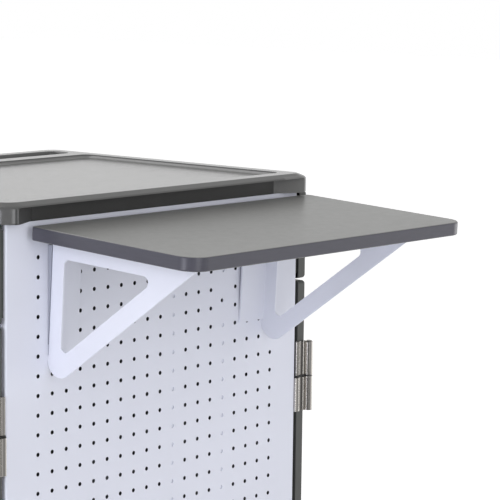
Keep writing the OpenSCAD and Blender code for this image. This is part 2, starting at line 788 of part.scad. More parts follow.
module leg_profile() {
    polygon(rounded_outline([[-26, fork_top, 0], [-22, fork_top - 26, 14], [trail - 15, axle_z - 4, 12],
        [trail - 4, axle_z - 16, 9], [trail + 14, axle_z - 4, 12], [trail + 14, axle_z + 14, 12],
        [27, fork_top - 24, 10], [27, fork_top, 0]]));
}

module caster_fork(sx, sy) color(zinc) translate([sx * caster_x, sy * caster_y, 0]) difference() {
    union() {
        translate([0, 0, fork_top - crown_t]) cylinder(d = 60, h = crown_t);
        for (m = [0, 1]) mirror([0, m, 0])
            translate([0, leg_y + leg_t, 0]) rotate([90, 0, 0]) linear_extrude(leg_t) leg_profile();
    }
    translate([0, 0, fork_top - crown_t - 1]) cylinder(d = king_d + 2 * run_gap, h = crown_t + 2);
    translate([trail, 2 * leg_y, axle_z]) rotate([90, 0, 0]) cylinder(d = axle_d + 2 * run_gap, h = 4 * leg_y);
    if (sy < 0) translate([pedal_x, 2 * leg_y, pedal_z]) rotate([90, 0, 0])
        cylinder(d = rod_d + 2 * run_gap, h = 4 * leg_y);
}

module caster_wheel(sx, sy) color(rubber_grey)
    translate([sx * caster_x + trail, sy * caster_y, axle_z]) rotate([90, 0, 0]) rotate_extrude()
        polygon(concat(
            [[axle_d / 2 + run_gap, -leg_y + 0.5], [13, -leg_y + 0.5], [15, -wheel_w / 2 + 6],
             [wheel_d / 2 - 24, -wheel_w / 2 + 6], [wheel_d / 2 - 20, -wheel_w / 2]],
            [for (i = [0:6]) [wheel_d / 2 - 7 + 7 * sin(90 * i / 6), -wheel_w / 2 + 7 - 7 * cos(90 * i / 6)]],
            [for (i = [0:6]) [wheel_d / 2 - 7 + 7 * cos(90 * i / 6), wheel_w / 2 - 7 + 7 * sin(90 * i / 6)]],
            [[wheel_d / 2 - 20, wheel_w / 2], [wheel_d / 2 - 24, wheel_w / 2 - 6],
             [15, wheel_w / 2 - 6], [13, leg_y - 0.5], [axle_d / 2 + run_gap, leg_y - 0.5]]));

module caster_axle(sx, sy) color(zinc)
    translate([sx * caster_x + trail, sy * caster_y, axle_z]) rotate([90, 0, 0]) {
        l = 2 * (leg_y + leg_t);
        translate([0, 0, -l / 2 - 1]) cylinder(d = axle_d, h = l + 2);
        for (s = [0, 1]) mirror([0, 0, s]) translate([0, 0, l / 2]) cylinder(d = 13, h = 5, $fn = 6);
    }

// Brake pedal behind the fork's crown, pivoted on a rod through the legs, with a shoe that
// swings onto the tread when the pedal is pressed.
rod_d = 6;
pedal_x = -17;
pedal_z = fork_top - 16;
shoe_line = atan2(axle_z - pedal_z, trail - pedal_x);
shoe_reach = norm([trail - pedal_x, axle_z - pedal_z]) - wheel_d / 2 - 0.6;
shoe_a = shoe_line - 27;

module caster_brake(sx, sy) color(rubber_grey)
    translate([sx * caster_x, sy * caster_y, 0]) {
        l = 2 * (leg_y + leg_t + 1.5);
        translate([pedal_x, l / 2, pedal_z]) rotate([90, 0, 0]) cylinder(d = rod_d, h = l);
        w = 2 * (leg_y - 3);
        translate([pedal_x, w / 2, pedal_z]) rotate([90, 0, 0]) linear_extrude(w) {
            circle(d = rod_d + 5);
            polygon(rounded_outline([[2, -3, 1], [0, 5, 2], [-44, 3, 3], [-49, -4, 2], [-44, -5, 2]], 4));
            rotate(shoe_a) translate([0, -3]) square([shoe_reach, 6]);
        }
    }

module caster_bolts() color(zinc)
    for (sx = [-1, 1], sy = [-1, 1]) {
        caster_holes(sx, sy, caster_h - plate_t - 3, plate_t + base_t + 3 + 5, 8);
        translate([sx * caster_x, sy * caster_y, 0]) for (i = [-1, 1], j = [-1, 1])
            translate([i * bolt_x, j * bolt_y, 0]) {
                translate([0, 0, caster_h - plate_t - 4]) cylinder(d = bolt_head, h = 4, $fn = 6);
                translate([0, 0, base_z + base_t]) cylinder(d = bolt_head, h = 4, $fn = 6);
            }
    }

top_shell();
top_core();
roof_plate();
base_pan();
side_panel_front();
side_panel_back();
post_front_left();
post_front_right();
post_back_left();
post_back_right();
upright_front();
upright_back();
header_left();
header_right();
shelf_lower();
shelf_upper();
shelf_rails();
door_pan_left();
door_pan_right();
door_liner_left();
door_liner_right();
hinge_fixed_left();
hinge_fixed_right();
hinge_moving_left();
hinge_moving_right();
latch_handle_left();
latch_handle_right();
latch_cam_left();
latch_cam_right();
latch_strikes();
tray_board();
tray_bracket_left();
tray_bracket_right();
bracket_wedge_left();
bracket_wedge_right();
bracket_studs();
bracket_nuts();
tray_screws();
caster_bolts();
caster_plate(-1, -1);  // caster_plate_front_left
caster_fork(-1, -1);  // caster_fork_front_left
caster_wheel(-1, -1);  // caster_wheel_front_left
caster_axle(-1, -1);  // caster_axle_front_left
caster_brake(-1, -1);  // caster_brake_front_left
caster_plate(1, -1);  // caster_plate_front_right
caster_fork(1, -1);  // caster_fork_front_right
caster_wheel(1, -1);  // caster_wheel_front_right
caster_axle(1, -1);  // caster_axle_front_right
caster_brake(1, -1);  // caster_brake_front_right
caster_plate(-1, 1);  // caster_plate_back_left
caster_fork(-1, 1);  // caster_fork_back_left
caster_wheel(-1, 1);  // caster_wheel_back_left
caster_axle(-1, 1);  // caster_axle_back_left
caster_plate(1, 1);  // caster_plate_back_right
caster_fork(1, 1);  // caster_fork_back_right
caster_wheel(1, 1);  // caster_wheel_back_right
caster_axle(1, 1);  // caster_axle_back_right
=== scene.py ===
"""Dresses the mobile computer desk: its finishes, and the small parts its solids leave plain."""

import json
import logging
import math
from dataclasses import dataclass, replace
from enum import Enum
from typing import Iterable, Sequence

import bmesh
import bpy
from mathutils import Matrix, Vector

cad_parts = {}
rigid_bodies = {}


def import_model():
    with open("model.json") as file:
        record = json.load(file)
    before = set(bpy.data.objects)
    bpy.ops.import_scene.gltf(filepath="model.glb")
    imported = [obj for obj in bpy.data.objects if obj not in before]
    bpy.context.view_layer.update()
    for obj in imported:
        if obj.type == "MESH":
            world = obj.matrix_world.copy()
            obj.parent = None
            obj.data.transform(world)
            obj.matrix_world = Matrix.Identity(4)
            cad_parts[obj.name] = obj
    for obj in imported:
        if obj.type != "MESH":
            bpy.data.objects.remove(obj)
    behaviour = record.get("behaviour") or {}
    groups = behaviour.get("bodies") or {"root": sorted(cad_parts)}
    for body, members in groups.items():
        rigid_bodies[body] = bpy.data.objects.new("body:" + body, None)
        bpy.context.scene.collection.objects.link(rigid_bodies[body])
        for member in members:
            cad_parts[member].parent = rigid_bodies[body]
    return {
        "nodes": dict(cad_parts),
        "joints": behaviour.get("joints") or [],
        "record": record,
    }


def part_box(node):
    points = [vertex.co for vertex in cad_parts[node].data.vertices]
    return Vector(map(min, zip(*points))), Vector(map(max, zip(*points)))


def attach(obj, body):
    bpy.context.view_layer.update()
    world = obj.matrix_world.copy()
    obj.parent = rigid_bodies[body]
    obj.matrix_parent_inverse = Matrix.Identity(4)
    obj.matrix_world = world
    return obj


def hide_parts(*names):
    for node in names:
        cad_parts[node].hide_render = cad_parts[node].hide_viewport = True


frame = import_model()

LOG = logging.getLogger("mobile_desk")
Point = tuple[float, float, float]
Colour = tuple[float, float, float]
Pair = tuple[float, float]
Socket = bpy.types.NodeSocket
WHITE: Colour = (1.0, 1.0, 1.0)


class Side(Enum):
    """The two door ends of the cabinet."""

    LEFT = "left"
    RIGHT = "right"

    @property
    def sign(self) -> int:
        """-1 at the left end, +1 at the right end."""
        return -1 if self is Side.LEFT else 1


class Corner(Enum):
    """The four casters."""

    FRONT_LEFT = "front_left"
    FRONT_RIGHT = "front_right"
    BACK_LEFT = "back_left"
    BACK_RIGHT = "back_right"

    @property
    def braked(self) -> bool:
        """Whether this caster has a brake pedal."""
        return self in (Corner.FRONT_LEFT, Corner.FRONT_RIGHT)


class Grain(Enum):
    """The way a drawn metal's lines run, as a stretch along each axis."""

    ALONG_X = (1.0, 30.0, 30.0)
    ALONG_Z = (30.0, 30.0, 1.0)


@dataclass(frozen=True)
class Patch:
    """A box of Object coordinates where a finish is darker, paler or duller than elsewhere."""

    low: Point
    high: Point
    shades: Pair
    soft: float = 0.002
    dull: float = 0.0


# ---- node trees ----


class Wiring:
    """A node tree, with short calls to fill it."""

    prefix = "ShaderNode"

    def __init__(self, tree: bpy.types.NodeTree) -> None:
        """Starts on an emptied tree."""
        self.tree = tree
        tree.nodes.clear()

    def node(self, kind: str, **settings: object) -> bpy.types.Node:
        """Adds a node and sets its properties.

        Args:
            kind: The node's type, without the tree's prefix.
            settings: Properties of the node.

        Returns:
            The new node.
        """
        made = self.tree.nodes.new(self.prefix + kind)
        for key, value in settings.items():
            setattr(made, key, value)
        return made

    def join(self, start: Socket, end: Socket) -> None:
        """Links two sockets."""
        self.tree.links.new(start, end)

    def parts(self, vector: Socket) -> bpy.types.NodeOutputs:
        """The X, Y and Z of a vector.

        Args:
            vector: The vector socket.

        Returns:
            The three value sockets.
        """
        made = self.node("SeparateXYZ")
        self.join(vector, made.inputs[0])
        return made.outputs

    def maths(self, operation: str, first: Socket, second: Socket | float) -> Socket:
        """One Math node.

        Args:
            operation: The node's operation.
            first: First value.
            second: Second value, a socket or a number.

        Returns:
            The result socket.
        """
        made = self.node("Math", operation=operation)
        self.join(first, made.inputs[0])
        if isinstance(second, (int, float)):
            made.inputs[1].default_value = second
        else:
            self.join(second, made.inputs[1])
        return made.outputs[0]

    def spread(self, value: Socket, low: float, high: float,
               start: float = 0.0, end: float = 1.0) -> Socket:
        """Maps a value's range from start..end to low..high.

        Args:
            value: The value socket.
            low: Result at start.
            high: Result at end.
            start: Where the source range begins.
            end: Where the source range ends.

        Returns:
            The mapped value socket.
        """
        made = self.node("MapRange")
        made.inputs["From Min"].default_value = start
        made.inputs["From Max"].default_value = end
        made.inputs["To Min"].default_value = low
        made.inputs["To Max"].default_value = high
        self.join(value, made.inputs["Value"])
        return made.outputs["Result"]


class Graph(Wiring):
    """A material's node tree, with the calls that the finishes share."""

    def __init__(self, name: str) -> None:
        """Makes a material with a Principled shader on its output.

        Args:
            name: The material's name.
        """
        self.material = bpy.data.materials.new(name)
        self.material.use_nodes = True
        super().__init__(self.material.node_tree)
        self.out = self.node("OutputMaterial")
        self.shader = self.node("BsdfPrincipled")
        self.join(self.shader.outputs[0], self.out.inputs["Surface"])
        self.place = self.node("TexCoord").outputs["Object"]

    def plain(self, **values: object) -> None:
        """Sets values on the shader's own sockets, by name with _ for a space."""
        for key, value in values.items():
            self.shader.inputs[key.replace("_", " ")].default_value = value

    def stretched(self, scale: Point, turn: Point = (0.0, 0.0, 0.0)) -> Socket:
        """Object coordinates, stretched and turned.

        Args:
            scale: The factor along each axis.
            turn: Rotation in radians.

        Returns:
            The vector socket.
        """
        mapping = self.node("Mapping")
        mapping.inputs["Scale"].default_value = scale
        mapping.inputs["Rotation"].default_value = turn
        self.join(self.place, mapping.inputs["Vector"])
        return mapping.outputs["Vector"]

    def noise(self, scale: float, detail: float = 2.0, rough: float = 0.5,
              where: Socket | None = None) -> Socket:
        """A noise value from 0 to 1.

        Args:
            scale: Cells per metre.
            detail: Octaves.
            rough: Weight of the finer octaves.
            where: The vector to read, or None for plain Object coordinates.

        Returns:
            The value socket.
        """
        made = self.node("TexNoise")
        made.inputs["Scale"].default_value = scale
        made.inputs["Detail"].default_value = detail
        made.inputs["Roughness"].default_value = rough
        self.join(where or self.place, made.inputs["Vector"])
        return made.outputs["Fac"]

    def cells(self, scale: float, feature: str = "F1", where: Socket | None = None) -> Socket:
        """A Voronoi distance value.

        Args:
            scale: Cells per metre.
            feature: Which distance is measured.
            where: The vector to read, or None for plain Object coordinates.

        Returns:
            The value socket.
        """
        made = self.node("TexVoronoi", feature=feature)
        made.inputs["Scale"].default_value = scale
        self.join(where or self.place, made.inputs["Vector"])
        return made.outputs["Distance"]

    def ramp(self, value: Socket, colour: Colour, stops: Sequence[Pair]) -> Socket:
        """A ramp through shades of one colour.

        Args:
            value: The value socket that picks the shade.
            colour: The colour.
            stops: Pairs of position and factor on the colour, in order.

        Returns:
            The colour socket.
        """
        made = self.node("ValToRGB")
        elements = made.color_ramp.elements
        while len(elements) < len(stops):
            elements.new(0.5)
        for element, (where, factor) in zip(elements, stops):
            element.position = where
            element.color = (*(min(1.0, part * factor) for part in colour), 1.0)
        self.join(value, made.inputs["Fac"])
        return made.outputs["Color"]

    def mottled(self, value: Socket, colour: Colour, shades: Pair,
                span: Pair = (0.3, 0.7)) -> Socket:
        """Goes from one shade of a colour to another as a value rises through a span."""
        return self.ramp(value, colour, tuple(zip(span, shades)))

    def around(self, value: Socket, middle: float, reach: Pair) -> Socket:
        """Lets a number swing below and above its middle as a value goes from 0 to 1."""
        return self.spread(value, middle - reach[0], middle + reach[1])

    def inside(self, patch: Patch) -> Socket:
        """How far a point lies in a patch.

        Args:
            patch: The patch.

        Returns:
            A value socket: 1 inside, 0 outside, fading over the patch's soft border.
        """
        factor: Socket | None = None
        for low, high, place in zip(patch.low, patch.high, self.parts(self.place)):
            middle, half = (low + high) / 2, (high - low) / 2
            away = self.maths("ABSOLUTE", self.maths("SUBTRACT", place, middle), 0.0)
            here = self.spread(away, 1.0, 0.0, half, half + patch.soft)
            factor = here if factor is None else self.maths("MULTIPLY", factor, here)
        return factor

    def blended(self, factor: Socket, first: Socket, second: Socket, how: str = "MIX") -> Socket:
        """Mixes two colours.

        Args:
            factor: How much of the second shows.
            first: The colour at 0.
            second: The colour at 1.
            how: The blend type.

        Returns:
            The colour socket.
        """
        made = self.node("Mix", data_type="RGBA", blend_type=how)
        colour_a, colour_b, result = made.inputs[6], made.inputs[7], made.outputs[2]
        self.join(factor, made.inputs["Factor"])
        self.join(first, colour_a)
        self.join(second, colour_b)
        return result

    def colour_from(self, socket: Socket) -> None:
        """Feeds the shader's base colour."""
        self.join(socket, self.shader.inputs["Base Color"])

    def roughness_from(self, socket: Socket) -> None:
        """Feeds the shader's roughness."""
        self.join(socket, self.shader.inputs["Roughness"])

    def bumps(self, *layers: tuple[Socket, float, float]) -> None:
        """Stacks bump layers onto the shader's normal.

        Args:
            layers: Triples of height socket, strength and depth in metres.
        """
        normal: Socket | None = None
        for height, strength, depth in layers:
            made = self.node("Bump")
            made.inputs["Strength"].default_value = strength
            made.inputs["Distance"].default_value = depth
            self.join(height, made.inputs["Height"])
            if normal is not None:
                self.join(normal, made.inputs["Normal"])
            normal = made.outputs["Normal"]
        self.join(normal, self.shader.inputs["Normal"])


# ---- finishes ----


@dataclass(frozen=True)
class Finish:
    """A finish that one or more parts share."""

    name: str
    colour: Colour
    roughness: float

    def build(self) -> bpy.types.Material:
        """Makes the finish's material.

        Returns:
            The material.
        """
        graph = Graph(self.name)
        self.fill(graph)
        return graph.material

    def fill(self, graph: Graph) -> None:
        """Adds this finish's nodes to the graph."""
        raise NotImplementedError


@dataclass(frozen=True)
class PowderCoat(Finish):
    """Sprayed and baked coat: even colour, faint cloudiness and an orange-peel skin."""

    cloud: float = 0.02
    cloud_span: Pair = (0.25, 0.75)
    peel: float = 0.00006
    peel_scale: float = 420.0
    pore_scale: float = 2200.0
    uneven: Pair = (0.04, 0.05)
    patches: tuple[Patch, ...] = ()

    def fill(self, graph: Graph) -> None:
        """Adds this finish's nodes.

        Args:
            graph: The material's graph.
        """
        graph.plain(IOR=1.5)
        clouds = graph.noise(5.0, detail=3.0, rough=0.55)
        colour = graph.mottled(clouds, self.colour, (1.0 - self.cloud, 1.0 + self.cloud),
                               self.cloud_span)
        for patch in self.patches:
            patch_colour = graph.mottled(clouds, self.colour, patch.shades, self.cloud_span)
            colour = graph.blended(graph.inside(patch), colour, patch_colour)
        graph.colour_from(colour)
        graph.roughness_from(graph.around(graph.noise(70.0), self.roughness, self.uneven))
        peel = graph.noise(self.peel_scale, detail=1.5, rough=0.4)
        graph.bumps((peel, 0.35, self.peel), (graph.cells(self.pore_scale), 0.12, self.peel * 0.4))


@dataclass(frozen=True)
class MouldedGrain(Finish):
    """Moulded plastic: a pebbled grain, faint flow clouds and hairline scuffs."""

    grain: float = 900.0
    depth: float = 0.00005
    pore_scale: float = 2600.0
    speck_scale: float = 1500.0
    speck_share: float = 0.3
    scuff_turn: float = 0.5
    scuff_gloss: float = 0.03
    scuff_span: Pair = (0.3, 0.7)
    patches: tuple[Patch, ...] = ()

    def fill(self, graph: Graph) -> None:
        """Adds this finish's nodes.

        Args:
            graph: The material's graph.
        """
        graph.plain(IOR=1.52)
        clouds = graph.noise(9.0, detail=4.0, rough=0.6)
        specks = graph.noise(self.speck_scale, detail=1.0)
        blend = graph.maths("ADD", graph.spread(clouds, 0.0, 1.0 - self.speck_share),
                            graph.spread(specks, 0.0, self.speck_share))
        colour = graph.ramp(blend, self.colour, ((0.2, 0.92), (0.55, 1.0), (0.85, 1.07)))
        along = graph.stretched((1.0, 9.0, 1.0), (0.0, 0.0, self.scuff_turn))
        scuffs = graph.noise(60.0, detail=6.0, rough=0.75, where=along)
        gloss = graph.spread(scuffs, self.roughness + self.scuff_gloss,
                             self.roughness - self.scuff_gloss, *self.scuff_span)
        # Patches lay painted shade and painted light over the grain, and dull some of it.
        for patch in self.patches:
            there = graph.inside(patch)
            colour = graph.blended(there, colour, graph.mottled(clouds, self.colour, patch.shades))
            if patch.dull:
                gloss = graph.maths("ADD", gloss, graph.spread(there, 0.0, patch.dull))
        graph.colour_from(colour)
        graph.roughness_from(gloss)
        pores = graph.noise(self.pore_scale, rough=0.6)
        graph.bumps((graph.cells(self.grain, "SMOOTH_F1"), 0.5, self.depth),
                    (pores, 0.25, self.depth * 0.4))


@dataclass(frozen=True)
class Laminate(Finish):
    """Pressed laminate on a board, with a fine pebble and an edge band of another colour."""

    edge: Colour = (0.062, 0.061, 0.078)
    edge_roughness: float = 0.3
    edge_turn: Pair = (0.55, 0.8)
    edge_stretch: Point = (1.0, 1.0, 8.0)
    pebble: float = 0.00006
    pebble_scale: float = 1400.0
    uneven: Pair = (0.05, 0.06)

    def fill(self, graph: Graph) -> None:
        """Adds this finish's nodes.

        Args:
            graph: The material's graph.
        """
        graph.plain(IOR=1.5)
        normal = graph.parts(graph.node("NewGeometry").outputs["Normal"])
        level = graph.spread(graph.maths("ABSOLUTE", normal["Z"], 0.0), 0.0, 1.0, *self.edge_turn)
        clouds = graph.noise(14.0, detail=3.0, rough=0.6)
        face = graph.mottled(clouds, self.colour, (0.96, 1.04))
        streaks = graph.noise(40.0, where=graph.stretched(self.edge_stretch))
        band = graph.mottled(streaks, self.edge, (0.95, 1.05))
        graph.colour_from(graph.blended(level, band, face))
        uneven = graph.around(graph.noise(90.0, detail=3.0, rough=0.6), 0.0, self.uneven)
        gloss = graph.spread(level, self.edge_roughness, self.roughness)
        graph.roughness_from(graph.maths("ADD", uneven, gloss))
        graph.bumps((graph.cells(self.pebble_scale, "SMOOTH_F1"), 0.3, self.pebble))


@dataclass(frozen=True)
class Plated(Finish):
    """Plated metal with fine lines along one axis, and crystals if it has a spangle."""

    grain: Grain = Grain.ALONG_Z
    lines: float = 0.00004
    cloud_share: float = 0.4
    spangle: float = 0.0
    spangle_scale: float = 160.0
    uneven: Pair = (0.07, 0.1)

    def fill(self, graph: Graph) -> None:
        """Adds this finish's nodes.

        Args:
            graph: The material's graph.
        """
        graph.plain(Metallic=1.0)
        along = graph.stretched(self.grain.value)
        lines = graph.noise(35.0, detail=4.0, rough=0.6, where=along)
        clouds = graph.noise(25.0, detail=3.0, rough=0.6)
        tone = graph.maths("ADD", graph.spread(lines, 0.0, 1.0 - self.cloud_share),
                           graph.spread(clouds, 0.0, self.cloud_share))
        if self.spangle:
            crystals = graph.spread(graph.cells(self.spangle_scale), 0.0, self.spangle)
            tone = graph.maths("ADD", tone, crystals)
        graph.colour_from(graph.ramp(tone, self.colour, ((0.25, 0.86), (0.5, 1.0), (0.8, 1.1))))
        graph.roughness_from(graph.around(lines, self.roughness, self.uneven))
        graph.bumps((lines, 0.4, self.lines))


@dataclass(frozen=True)
class FlutedPlate(Finish):
    """Polished fluted plate whose upright bright and dark bands are painted reflections and
    painted shade.

    The bands are set out along a slanting line, so that they cross the leaf and go round
    the barrel. Each band is a pair of its place on that line and its shade.
    """

    lean: Pair = (0.65, -0.76)
    reflection_bands: tuple[Pair, ...] = ()
    split_shade: tuple[Patch, ...] = ()
    lines: float = 0.00002
    uneven: Pair = (0.05, 0.08)

    def fill(self, graph: Graph) -> None:
        """Adds this finish's nodes.

        Args:
            graph: The material's graph.
        """
        graph.plain(Metallic=1.0)
        place = graph.parts(graph.place)
        from_middle = graph.maths("ABSOLUTE", place["X"], 0.0)
        across = graph.maths("ADD", graph.maths("MULTIPLY", from_middle, self.lean[0]),
                             graph.maths("MULTIPLY", place["Y"], self.lean[1]))
        start, end = self.reflection_bands[0][0], self.reflection_bands[-1][0]
        stops = [((where - start) / (end - start), factor) for where, factor in self.reflection_bands]
        # Painted reflections and painted shade: a ramp of bright and dark bands across the leaf
        # and round the barrel.
        ribs = graph.ramp(graph.spread(across, 0.0, 1.0, start, end), self.colour, stops)
        along = graph.stretched(Grain.ALONG_Z.value)
        lines = graph.noise(40.0, detail=4.0, rough=0.6, where=along)
        worn = graph.mottled(lines, WHITE, (0.93, 1.0))
        colour = graph.blended(graph.spread(lines, 0.9, 1.0), ribs, worn, "MULTIPLY")
        # Painted shade darkens the split between each hinge's halves.
        for patch in self.split_shade:
            split_shade_colour = graph.mottled(lines, self.colour, patch.shades)
            colour = graph.blended(graph.inside(patch), colour, split_shade_colour)
        graph.colour_from(colour)
        graph.roughness_from(graph.around(lines, self.roughness, self.uneven))
        graph.bumps((lines, 0.3, self.lines))


@dataclass(frozen=True)
class Rubber(Finish):
    """Moulded rubber or tough plastic: dull, dusty in patches."""

    dust: float = 1.6
    pits: float = 0.00008
    pit_scale: float = 900.0
    uneven: Pair = (0.04, 0.1)

    def fill(self, graph: Graph) -> None:
        """Adds this finish's nodes.

        Args:
            graph: The material's graph.
        """
        graph.plain(IOR=1.45)
        clouds = graph.noise(30.0, detail=4.0, rough=0.65)
        graph.colour_from(graph.mottled(clouds, self.colour, (1.0, self.dust), (0.35, 0.75)))
        graph.roughness_from(graph.around(clouds, self.roughness, self.uneven))
        graph.bumps((graph.noise(self.pit_scale, rough=0.6), 0.4, self.pits))


@dataclass(frozen=True)
class ChipBoard(Finish):
    """Pressed wood chips, seen only from below or where the board is cut."""

    chip_scale: float = 180.0
    chip_shape: Point = (1.0, 2.2, 1.0)
    chip_depth: float = 0.0002
    uneven: Pair = (0.0, 0.1)

    def fill(self, graph: Graph) -> None:
        """Adds this finish's nodes.

        Args:
            graph: The material's graph.
        """
        chips = graph.cells(self.chip_scale, where=graph.stretched(self.chip_shape))
        graph.colour_from(graph.ramp(chips, self.colour, ((0.1, 0.7), (0.4, 1.0), (0.8, 1.25))))
        graph.roughness_from(graph.around(chips, self.roughness, self.uneven))
        graph.bumps((chips, 0.5, self.chip_depth))


WHITE_COAT = PowderCoat("white_powder_coat", (0.685, 0.7, 0.785), 0.42)
# The wedges' mid-grey is painted shadow, standing in for the shade in the gap behind each bracket.
SHADOW_GREY_COAT = PowderCoat("shim_painted_shadow_coat", (0.33, 0.345, 0.41), 0.5)
DARK_COAT = PowderCoat("dark_powder_coat", (0.061, 0.063, 0.059), 0.45, cloud=0.05)
TOP_GRAIN = MouldedGrain("worktop_grain", (0.088, 0.088, 0.086), 0.19)
TRAY_LAMINATE = Laminate("tray_laminate", (0.19, 0.19, 0.183), 0.34)
NICKEL = Plated("satin_nickel", (0.3, 0.28, 0.26), 0.22)
HINGE_PLATE = FlutedPlate("fluted_nickel", (0.62, 0.593, 0.56), 0.2)
ZINC = Plated("bright_zinc", (0.62, 0.64, 0.68), 0.34, grain=Grain.ALONG_X, spangle=0.25)
TREAD_RUBBER = Rubber("tread_rubber", (0.045, 0.045, 0.048), 0.62)
PEDAL_PLASTIC = Rubber("pedal_plastic", (0.03, 0.03, 0.032), 0.45, dust=1.3)
HUB_PLASTIC = MouldedGrain("hub_plastic", (0.22, 0.225, 0.23), 0.4, grain=1200.0)
CHIP_BOARD = ChipBoard("chip_board", (0.5, 0.37, 0.22), 0.75)

# The hinges' painted reflections and painted shade, as bands: millimetres from the barrel's axis,
# and shade.
PAINTED_REFLECTION_BANDS: tuple[Pair, ...] = (
    (-22.4, 0.89), (-18.8, 1.48), (-17.8, 1.19), (-16.2, 0.37), (-15.0, 0.33), (-14.0, 0.56),
    (-13.0, 0.96), (-11.8, 0.41), (-10.6, 0.15), (-9.6, 0.15), (-8.6, 0.56), (-7.2, 1.34),
    (-5.8, 0.56), (-5.2, 0.59), (-4.2, 1.56), (-2.8, 1.56), (-2.0, 0.74), (-1.2, 0.45),
    (0.6, 0.46), (2.0, 0.37), (3.2, 0.70), (4.2, 0.85), (5.6, 0.78), (8.6, 0.74))

# How dark or pale a patch is, as factors on its finish's colour: darker inside the cabinet,
# painted shade in the worktop's hollows, painted light on the worktop, and painted shade in the
# hinges' split.
INSIDE_DARK: Pair = (0.05, 0.065)
PAINTED_SHADE: Pair = (0.3, 0.39)
PAINTED_LIGHT: Pair = (1.8, 2.2)
PAINTED_SPLIT_SHADE: Pair = (0.08, 0.12)

SLOT_FINISHES: dict[str, Finish] = {
    "moulded_grey": TOP_GRAIN,
    "core_board": CHIP_BOARD,
    "white_paint": WHITE_COAT,
    "dark_paint": DARK_COAT,
    "nickel": NICKEL,
    "zinc_plate": ZINC,
    "tray_laminate": TRAY_LAMINATE,
    "wheel_rubber": TREAD_RUBBER,
    "pedal_plastic": PEDAL_PLASTIC,
}


class Palette:
    """Builds each finish once and hands out its material."""

    def __init__(self) -> None:
        """Starts with nothing built."""
        self._made: dict[str, bpy.types.Material] = {}

    def of(self, finish: Finish) -> bpy.types.Material:
        """The finish's material, built on first use.

        Args:
            finish: The finish.

        Returns:
            Its material.
        """
        if finish.name not in self._made:
            self._made[finish.name] = finish.build()
        return self._made[finish.name]

    def coat(self, thing: bpy.types.Object, finish: Finish) -> None:
        """Puts a finish on every material slot of an object.

        Args:
            thing: The object.
            finish: What covers it.
        """
        slots = thing.data.materials
        if not len(slots):
            slots.append(self.of(finish))
        for index in range(len(slots)):
            slots[index] = self.of(finish)


# ---- meshes ----


def settled(name: str, shape: bmesh.types.BMesh, smooth_under: float = 35.0) -> bpy.types.Mesh:
    """Turns a bmesh into a mesh with its doubles merged and its faces outward.

    Args:
        name: The mesh's name.
        shape: The bmesh, which is freed.
        smooth_under: Edges flatter than this, in degrees, are shaded smooth.

    Returns:
        The mesh.
    """
    bmesh.ops.remove_doubles(shape, verts=shape.verts, dist=1e-6)
    bmesh.ops.recalc_face_normals(shape, faces=shape.faces)
    limit = math.radians(smooth_under)
    for face in shape.faces:
        face.smooth = True
    for edge in shape.edges:
        edge.smooth = len(edge.link_faces) == 2 and edge.calc_face_angle(0.0) < limit
    mesh = bpy.data.meshes.new(name)
    shape.to_mesh(mesh)
    shape.free()
    return mesh


def turned(profile: Sequence[Pair], steps: int, place: Matrix,
           shape: bmesh.types.BMesh | None = None) -> bmesh.types.BMesh:
    """Revolves a closed profile round the local Z axis.

    Args:
        profile: Points as radius and height, closed by the last edge.
        steps: Segments round.
        place: Where the axis goes.
        shape: The bmesh that takes it, or None for a new one.

    Returns:
        The bmesh.
    """
    shape = bmesh.new() if shape is None else shape
    angles = [2 * math.pi * i / steps for i in range(steps)]
    rings = [[shape.verts.new(place @ Vector((r * math.cos(a), r * math.sin(a), z)))
              for r, z in profile] for a in angles]
    for i, here in enumerate(rings):
        there = rings[(i + 1) % steps]
        for j, (radius, _) in enumerate(profile):
            k = (j + 1) % len(profile)
            if radius == 0 and profile[k][0] == 0:
                continue
            corners = [here[j], there[j], there[k], here[k]]
            if radius == 0:
                corners = [here[j], there[k], here[k]]
            elif profile[k][0] == 0:
                corners = [here[j], there[j], here[k]]
            shape.faces.new(corners)
    return shape


def both_faces(upper: Sequence[Pair]) -> list[Pair]:
    """A closed profile from its upper half and that half's mirror image below."""
    return list(upper) + [(r, -z) for r, z in reversed(upper)]


# ---- repeated parts ----


